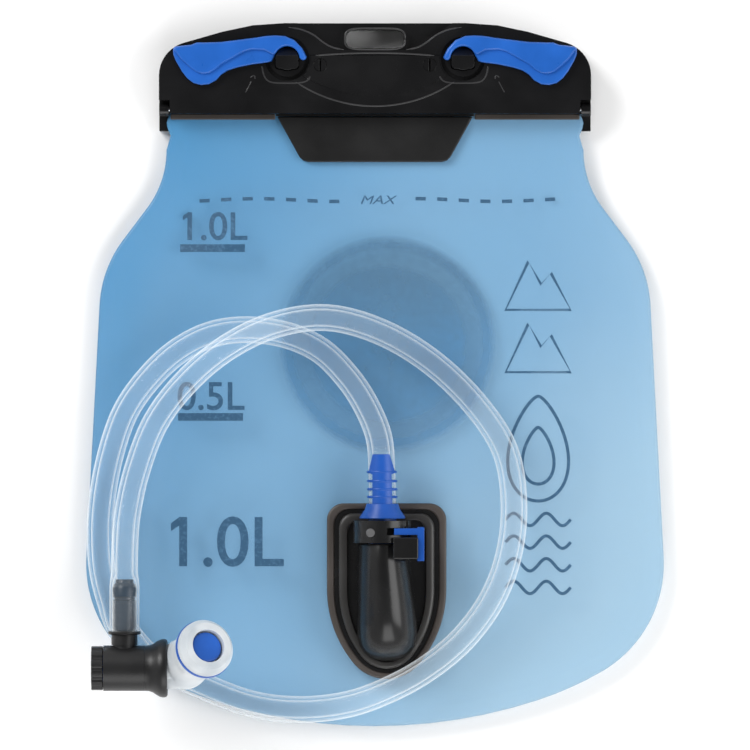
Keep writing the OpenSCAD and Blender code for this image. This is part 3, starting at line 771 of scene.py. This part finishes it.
SLOT_X, SLOT_Y = 10.6, 118.5
slot_line = [(SLOT_X * math.copysign(abs(math.cos(a)) ** 0.4, math.cos(a)),
              SLOT_Y + 3.7 * math.copysign(abs(math.sin(a)) ** 0.6, math.sin(a)))
             for a in [math.tau * i / 48 for i in range(49)]]
raised_line("slot_rim", slot_line, "upper_jaw")
raised_line("plate_line_above", [(x, 113.55 - 1.1 * (x / 23) ** 2) for x in range(-21, 22, 3)],
            "upper_jaw")
raised_line("plate_line_below", [(x, 148 - math.sqrt(50 ** 2 - x ** 2) - 3.2)
                                 for x in range(-28, 29, 4)], "upper_jaw")
for side in (-1, 1):
    raised_line("shoulder_line", [(side * x, y) for x, y in (
        (30.5, 122.6), (26, 121.8), (21.7, 119.9), (18.4, 117.4), (15.2, 115.6),
        (11, 114.7))], "upper_jaw")
    raised_line("post_line", [(side * (POST_X - x), POST_Y + y) for x, y in (
        (-8.9, -1.2), (-8.6, -4.2), (-7.6, -6.9), (-5.4, -8.3), (0, -8.6), (4.9, -8.4),
        (7.4, -7.4), (8.6, -5))], "upper_jaw", radius=POST_LINE_R,
                height=FACE_Z + LOW - POST_LINE_R)
    for name, points in (("turn_arrow", [(42.8, 105.2), (44.6, 101.6), (46.6, 98)]),
                         ("turn_arrow_head", [(45.2, 104), (42.6, 105.6), (42.4, 103)])):
        raised_line(name, [(side * x, y) for x, y in points], "upper_jaw",
                    radius=ARROW_R, height=FACE_Z + LOW - ARROW_R)

# -------------------------------------------------------- the mouth's fittings
# A grey-brown bead is welded along the mouth, a soft gasket lies in the rear
# jaw, and a stiff black tab on the front film pulls the mouth open.
BEAD_IN, BEAD_OUT = 35.2, 72.3
TAB_BOTTOM, TAB_TOP = 75.2, 91.3
bead_brown = moulded("bead_brown", (0.055, 0.047, 0.042), 0.3, 0.12)
tab_black = moulded("tab_nylon", (0.007, 0.007, 0.0072), 0.4, 0.5)
gasket_rubber = moulded("gasket_rubber", (0.02, 0.02, 0.021), 0.7, 0.3)


def plate(name, outline, low, high, material, radius, sharp=50):
    """A flat moulding with an outline in millimetres and a rounded upper edge."""
    floor_points = [Vector((x * MM, y * MM, low)) for x, y in outline]
    count = len(outline)
    vertices = floor_points + [p + Vector((0, 0, high - low)) for p in floor_points]
    faces = [tuple(range(count))[::-1], tuple(range(count, 2 * count))]
    faces += [(k, (k + 1) % count, count + (k + 1) % count, count + k) for k in range(count)]
    piece = new_piece(name, vertices, faces, material)
    piece.data.set_sharp_from_angle(angle=math.radians(40))
    edge = piece.modifiers.new("round_edges", "BEVEL")
    edge.width = radius
    edge.segments = 3
    edge.limit_method = "ANGLE"
    edge.angle_limit = math.radians(sharp)
    edge.harden_normals = True
    return piece


bead_ends = []
for side in (-1, 1):
    inner, outer = sorted((side * BEAD_IN, side * BEAD_OUT))
    bead_ends.append(plate("mouth_bead_strip", [(inner, 90.2), (outer, 90.2), (outer, 92.2),
                                                (inner, 92.2)],
                           6.5 * MM, 7.6 * MM, bead_brown, 0.4 * MM))
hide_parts("mouth_bead")
for piece in bead_ends:
    fixed(piece, "bladder")
tab_half = [(23.6, TAB_BOTTOM), (25.4, TAB_BOTTOM + 0.5), (26.7, TAB_BOTTOM + 1.8),
            (34.6, TAB_TOP)]
tab = plate("mouth_tab_moulding", tab_half + [(-x, y) for x, y in reversed(tab_half)],
            6.5 * MM, 8.3 * MM, tab_black, 0.6 * MM, 30)
tab_root = plate("mouth_tab_root", [(-35, 91.4), (35, 91.4), (35, 92.2), (-35, 92.2)],
                 6.5 * MM, 7.4 * MM, tab_black, 0.2 * MM)
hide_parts("mouth_tab")
for piece in (tab, tab_root):
    fixed(piece, "bladder")
recoat("mouth_gasket", gasket_rubber)

# ------------------------------------------------------------ the lock levers
# Two blue acetal levers, mirror images, that turn round the posts. Each has a
# hook round its post, a raised blade and a lower thumb pad at its far end.
LEVER_Z, LEVER_TOP, BLADE_STEP = 14.05 * MM, 17.55 * MM, 16.4 * MM
HOOK_ARC = [(4.38 * math.cos(math.radians(a)), 4.38 * math.sin(math.radians(a)))
            for a in range(4, 172, 12)]
LEVER_EDGE = [(-40.1, 1.5), (-40.2, 3.7), (-39.4, 4.3), (-36.8, 4.6), (-33.9, 4.9),
              (-31.8, 5.7), (-29.2, 5.7), (-23.2, 5.9), (-15.1, 6.9), (-11.2, 7.4),
              (-7.5, 8.0), (-4.1, 8.2), (-0.8, 8.0), (2.7, 6.5), (5.4, 3.6), (6.9, 0.7),
              (6.6, -0.3), (5.1, -0.5)]
LEVER_BELOW = [(-5.4, -0.9), (-6.8, -1.3), (-12.2, -2.0), (-17.6, -3.1), (-21, -4.2),
               (-23.2, -5.6), (-25.0, -7.6), (-27.6, -9.0), (-30.4, -9.3), (-33.0, -8.6),
               (-35.2, -6.9), (-37.0, -4.6), (-39.2, -0.8)]
BLADE_BELOW = [(-5.2, 1.4), (-8, 2.9), (-12.3, 3.1), (-14.9, 2.5), (-17.6, 1.1),
               (-20.5, -0.6), (-23.1, -2.0), (-25.4, -4.0), (-27.6, -5.2), (-29.9, -5.4),
               (-32.2, -4.6), (-34.6, -2.8), (-37.3, -0.3)]


def lever(name, side, body, node):
    """A lever round its post; side is -1 for the left one and 1 for the right one."""
    def placed(points):
        return [(side * (POST_X - x), POST_Y + y) for x, y in points]
    lower = placed(LEVER_EDGE + HOOK_ARC + LEVER_BELOW)
    upper = placed([(x, y - 0.15) for x, y in LEVER_EDGE[1:]] + HOOK_ARC + BLADE_BELOW)
    if side > 0:
        lower, upper = lower[::-1], upper[::-1]
    base = plate(name, lower, LEVER_Z, BLADE_STEP, lever_blue, 0.55 * MM)
    blade = plate(name + "_blade", upper, BLADE_STEP - 1.2 * MM, LEVER_TOP, lever_blue, 0.9 * MM)
    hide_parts(node)
    for piece in (base, blade):
        fixed(piece, body)


lever_blue = moulded("lever_acetal", (0.014, 0.105, 0.44), 0.28, 0.15)
lever("left_lock_lever", -1, "lever_left", "left_lever")
lever("right_lock_lever", 1, "lever_right", "right_lever")

# --------------------------------------------------------------- the hose dock
# A black moulding welded through the front film: a brown-grey flange, an oval
# trough with a raised ring, and the domed cover of the barrel.
DOCK_MIDDLE = (4.1, -76.0)
dock_gloss = moulded("dock_plastic", (0.008, 0.008, 0.0083), 0.24, 0.1)
dock_ring = moulded("ring_plastic", (0.035, 0.034, 0.033), 0.3, 0.15)
flange_brown = moulded("flange_rim", (0.062, 0.053, 0.048), 0.42, 0.2)
button_blue = moulded("button_acetal", (0.008, 0.07, 0.34), 0.34, 0.12)
flange_half = [(x + DOCK_MIDDLE[0], y) for x, y in
               walk((0, -107.3), 0, [(15, 50), (41, 40), (24.3, 0), (6, 90)])]


def flange_loop(share_x, share_y):
    """The flange's outline, drawn in towards its middle."""
    half = [((x - DOCK_MIDDLE[0]) * share_x, DOCK_MIDDLE[1] + (y - DOCK_MIDDLE[1]) * share_y)
            for x, y in flange_half]
    return [(DOCK_MIDDLE[0] + x, y) for x, y in half] + [
        (DOCK_MIDDLE[0] - x, y) for x, y in reversed(half) if x > 0.01]


def stepped_ring(name, steps, material):
    """A ring or lid whose section is a list of (share_x, share_y, z), outside first."""
    loops = [[Vector((x * MM, y * MM, z * MM)) for x, y in flange_loop(kx, ky)]
             for kx, ky, z in steps]
    piece = new_piece(name, [p for loop in loops for p in loop], skin(loops, closed=True),
                      material)
    piece.data.set_sharp_from_angle(angle=math.radians(50))
    return piece


flange = stepped_ring("dock_flange_rim", [
    (1.0, 1.0, 10.05), (1.0, 1.0, 11.1), (0.99, 0.993, 11.45), (0.97, 0.98, 11.6),
    (0.9, 0.945, 11.6), (0.885, 0.935, 11.4), (0.88, 0.93, 10.8), (0.2, 0.2, 10.7),
    (0.2, 0.2, 10.05)], flange_brown)
trough = stepped_ring("dock_trough", [
    (0.875, 0.927, 10.85), (0.87, 0.924, 11.3), (0.76, 0.87, 11.2), (0.2, 0.2, 11.2),
    (0.2, 0.2, 10.85)], dock_gloss)
ring = stepped_ring("dock_bezel_ring", [
    (0.80, 0.885, 11.25), (0.795, 0.882, 12.3), (0.77, 0.867, 12.75), (0.70, 0.83, 12.8),
    (0.665, 0.812, 12.6), (0.65, 0.805, 11.9), (0.65, 0.805, 11.25)], dock_ring)
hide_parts("dock_flange")
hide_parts("dock_bezel")
for piece in (flange, trough, ring):
    fixed(piece, "bladder")

# the cover is an arch that widens from the collar and closes in a dome
ARCHES = [(-59.4, 2.9, 8.9, 29.2), (-60, 2.9, 9.2, 29.4), (-66, 3.1, 9.5, 29.4),
          (-72, 3.4, 10.0, 29.2), (-80, 3.9, 10.5, 28.8), (-87, 4.2, 10.8, 28.0),
          (-92, 4.3, 10.6, 26.2), (-95.5, 4.3, 9.8, 23.6), (-98, 4.3, 8.2, 20.2),
          (-99.8, 4.3, 6.0, 16.6), (-100.8, 4.3, 3.2, 13.8), (-101.1, 4.3, 0.8, 12.6)]
ARCH_SIDES = 32
ARCH_FOOT = 11.3
cover_rings = []
for y, middle, wide, top in ARCHES:
    ring_points = []
    for k in range(ARCH_SIDES + 1):
        a = math.pi * k / ARCH_SIDES
        ring_points.append(Vector((middle + wide * math.cos(a) * (1 - 0.06 * math.sin(a) ** 2),
                                   y, ARCH_FOOT + (top - ARCH_FOOT) * math.sin(a) ** 0.8)) * MM)
    ring_points += [Vector((middle + wide * (1 - 2 * k / 6) * 0.99, y, 11.25)) * MM
                    for k in range(6, -1, -1)][1:-1][::-1]
    cover_rings.append(ring_points)
cover_points = [p for loop in cover_rings for p in loop]
per_ring = len(cover_rings[0])
cover_faces = skin(cover_rings) + [tuple(range(per_ring)), tuple(
    range(len(cover_points) - per_ring, len(cover_points)))]
cover = new_piece("dock_cover", cover_points, cover_faces, dock_gloss)
cover.data.set_sharp_from_angle(angle=math.radians(60))
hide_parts("dock_body")
fixed(cover, "bladder")

# ------------------------------------------------------ the dock's latch parts
# The collar with its small rivet, the blue latch that frees the hose, the black
# thumb pad on its arm, and the parts inside: two springs, the poppet, a seal.
softened("dock_collar", "dock_collar_moulding", "bladder", dock_gloss, 0.5 * MM)
softened("release_button", "release_button_moulding", "button", button_blue,
         0.5 * MM)
pad = plate("button_thumb_pad", [(6.4, -64.6), (15.2, -64.6), (15.2, -60), (15.2, -57),
                                 (6.4, -57)], 31.05 * MM, 32.4 * MM, dock_gloss, 0.5 * MM)
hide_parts("button_pad")
fixed(pad, "button")
dull_steel = moulded("dull_rivet", (0.09, 0.09, 0.092), 0.42, 0.1)
softened("dock_rivet", "dock_rivet_head", "bladder", dull_steel, 0.1 * MM)
for node, finish in (("button_spring", steel), ("poppet_spring", steel),
                     ("check_poppet", button_blue), ("connector_oring", gasket_rubber)):
    recoat(node, finish)

# --------------------------------------------------------- the hose connector
# A blue barbed plug. Its ribs grip the bore of the hose, its skirt covers the
# hose's end, and its nose is latched in the dock.
CONNECTOR_X, CONNECTOR_Z = 2.6 * MM, 21 * MM


def turned(name, profile, place, material, sides=48):
    """A piece turned from a closed profile of (radius, distance) in millimetres."""
    rings = [[place @ Vector((r * MM * math.cos(math.tau * k / sides),
                              r * MM * math.sin(math.tau * k / sides), h * MM))
              for k in range(sides)] for r, h in profile]
    piece = new_piece(name, [p for ring in rings for p in ring], skin(rings, closed=True),
                      material)
    piece.data.set_sharp_from_angle(angle=math.radians(35))
    return piece


along_connector = (Matrix.Translation((CONNECTOR_X, -27.9 * MM, CONNECTOR_Z))
                   @ Matrix.Rotation(math.pi / 2, 4, "X"))
barb_profile = [(2.0, 0), (2.45, 0), (2.6, 0.3), (3.1, 5.2), (3.12, 6.1), (2.6, 6.2),
                (2.6, 7.6), (3.1, 7.7), (3.12, 8.6), (2.6, 8.7), (2.6, 10.6), (3.1, 10.7),
                (3.12, 11.6), (2.6, 11.7), (2.6, 13.6), (3.1, 13.7), (3.12, 17.3),
                (5.5, 17.4), (5.7, 17.7), (6.2, 19.4), (8.0, 22.0), (8.1, 22.3), (8.0, 22.6),
                (4.95, 22.6), (4.95, 29.5), (3.9, 29.5), (3.9, 31.3), (4.95, 31.3),
                (4.95, 33.1), (2.0, 33.1)]
connector = turned("barbed_connector", barb_profile, along_connector, button_blue)
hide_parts("hose_connector")
fixed(connector, "bladder")

# the boot: two spines along the hose, joined by thin ribs round it
RIBS = (-34.1, -37.3, -40.2, -42.9)
SPINE = [(-27.9, 35), (-28.6, 37), (-31, 47), (-33.6, 60), (-34.4, 60), (-35, 40), (-45.4, 42)]
BOOT_IN, BOOT_OUT = 4.85, 5.25
ARC_POINTS = 17
RIB_SIDES = 48


def hose_centre(y):
    """The middle of the hose at a Y position near the connector."""
    for a, b in zip(hose_path[:20], hose_path[1:]):
        if a.y <= y <= b.y:
            return a + (b - a) * ((y - a.y) / (b.y - a.y))
    return hose_path[0]


def shell_rows(rows, turn):
    """A curved plate between the boot's two radii; rows are (y, half angle)."""
    loops = []
    for y, half in rows:
        c = hose_centre(y * MM)
        arc = [turn + math.radians(half * (2 * k / (ARC_POINTS - 1) - 1))
               for k in range(ARC_POINTS)]
        loops.append([Vector((c.x + r * MM * math.sin(a), y * MM, c.z + r * MM * math.cos(a)))
                      for r, angles in ((BOOT_OUT, arc), (BOOT_IN, arc[::-1])) for a in angles])
    faces = skin(loops)
    around = 2 * ARC_POINTS
    last = (len(loops) - 1) * around
    return [p for loop in loops for p in loop], faces + [tuple(range(around)), tuple(
        range(last, last + around))]


def rib(y):
    """A thin ring round the hose."""
    c = hose_centre(y * MM)
    loops = [[Vector((c.x + r * MM * math.sin(math.tau * k / RIB_SIDES), (y + h) * MM,
                      c.z + r * MM * math.cos(math.tau * k / RIB_SIDES)))
              for k in range(RIB_SIDES)]
             for r, h in ((4.82, -0.42), (5.2, -0.42), (5.35, -0.2), (5.35, 0.2), (5.2, 0.42),
                          (4.82, 0.42))]
    return [p for loop in loops for p in loop], skin(loops, closed=True)


boot = new_piece("connector_boot", *joined([shell_rows(SPINE, 0), shell_rows(SPINE, math.pi)]
                                           + [rib(y) for y in RIBS]), button_blue)
boot.data.set_sharp_from_angle(angle=math.radians(35))
fixed(boot, "bladder")

# ------------------------------------------------------------- the bite valve
# A black elbow that swivels on a barbed stem in the hose's end. Its far end
# holds a milky silicone mouthpiece with a blue ring and a blue stopper.
ELBOW_X, ELBOW_Y, ELBOW_Z = -88 * MM, -103 * MM, 28 * MM
elbow_black = moulded("elbow_nylon", (0.0115, 0.0115, 0.012), 0.38, 0.45)
stem_navy = moulded("stem_nylon", (0.006, 0.022, 0.042), 0.35, 0.15)
valve_blue = moulded("valve_blue", (0.008, 0.085, 0.40), 0.3, 0.1)
along_hose = (Matrix.Translation((ELBOW_X, -90 * MM, ELBOW_Z))
              @ Matrix.Rotation(math.pi / 2, 4, "X"))
stem_profile = [(1.7, -18.2), (3.0, -18.2), (3.15, -17.9), (3.2, -17.0), (3.9, -16.3),
                (4.32, -15.2), (4.34, -12.2), (3.7, -12.0), (3.7, -11.0), (4.2, -10.8),
                (4.2, -0.3), (4.0, -0.1), (2.6, 0), (2.6, 4), (2.1, 4), (2.1, 5.2), (2.6, 5.2),
                (2.6, 7), (1.7, 7)]
stem = turned("elbow_barb", stem_profile, along_hose, stem_navy)
stem_disc = turned("elbow_barb_disc", [(2.7, 0.05), (5.5, 0.05), (5.75, 0.25), (5.75, 0.75),
                                       (5.4, 1.15), (2.7, 1.15)], along_hose, elbow_black)
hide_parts("elbow_stem")
for piece in (stem, stem_disc):
    fixed(piece, "bladder")
elbow_piece = softened("elbow_body", "elbow_moulding", "elbow", elbow_black,
                       0.6 * MM)
along_barrel = (Matrix.Translation((-80.8 * MM, ELBOW_Y, ELBOW_Z))
                @ Matrix.Rotation(math.pi / 2, 4, "Y"))
collar_piece = turned("valve_collar_moulding", [
    (8.0, 0.05), (8.05, 1.4), (8.5, 2.8), (9.5, 4.2), (10.1, 5.4), (10.3, 6.6), (10.1, 7.5),
    (9.5, 7.9), (9.1, 7.7), (7.4, 1.2), (4.2, 1.0), (4.2, 0.05)], along_barrel, elbow_black)
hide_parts("valve_collar")
fixed(collar_piece, "elbow")
knob_piece = softened("shutoff_knob", "shutoff_knob_moulding", "shutoff",
                      elbow_black, 0.3 * MM)
for node, finish in (("shutoff_core", valve_blue), ("core_oring", gasket_rubber),
                     ("stem_oring", gasket_rubber)):
    recoat(node, finish)
silicone = see_through("milky_silicone", (0.34, 0.40, 0.45), 0.78, 0.94, 0.3)
mouth_piece = softened("mouthpiece", "silicone_mouthpiece", "elbow", silicone,
                       0.8 * MM)
mouth_frame = (Matrix.Translation(Vector((-67, -101.5, 28)) * MM)
               @ Matrix.Rotation(math.radians(38), 4, "Z")
               @ Matrix.Rotation(math.radians(28), 4, "Y"))
ring_piece = turned("mouthpiece_band", [(9.25, 18.5), (10.2, 18.5), (10.35, 18.7), (10.35, 19.75),
                                        (10.2, 19.95), (9.25, 19.95)], mouth_frame, valve_blue)
lip_piece = turned("mouthpiece_lip", [(9.25, 18.0), (10.05, 18.0), (10.1, 18.45), (9.25, 18.45),
                                      (9.25, 20.0), (10.1, 20.0), (10.05, 20.6), (9.22, 20.6),
                                      (9.22, 18.0)], mouth_frame, silicone)
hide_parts("mouthpiece_ring")
for piece, slot in ((ring_piece, "valve_blue"), (lip_piece, "silicone")):
    fixed(piece, "elbow")
stopper_piece = softened("bite_poppet", "bite_stopper", "stopper", valve_blue,
                         0.6 * MM)
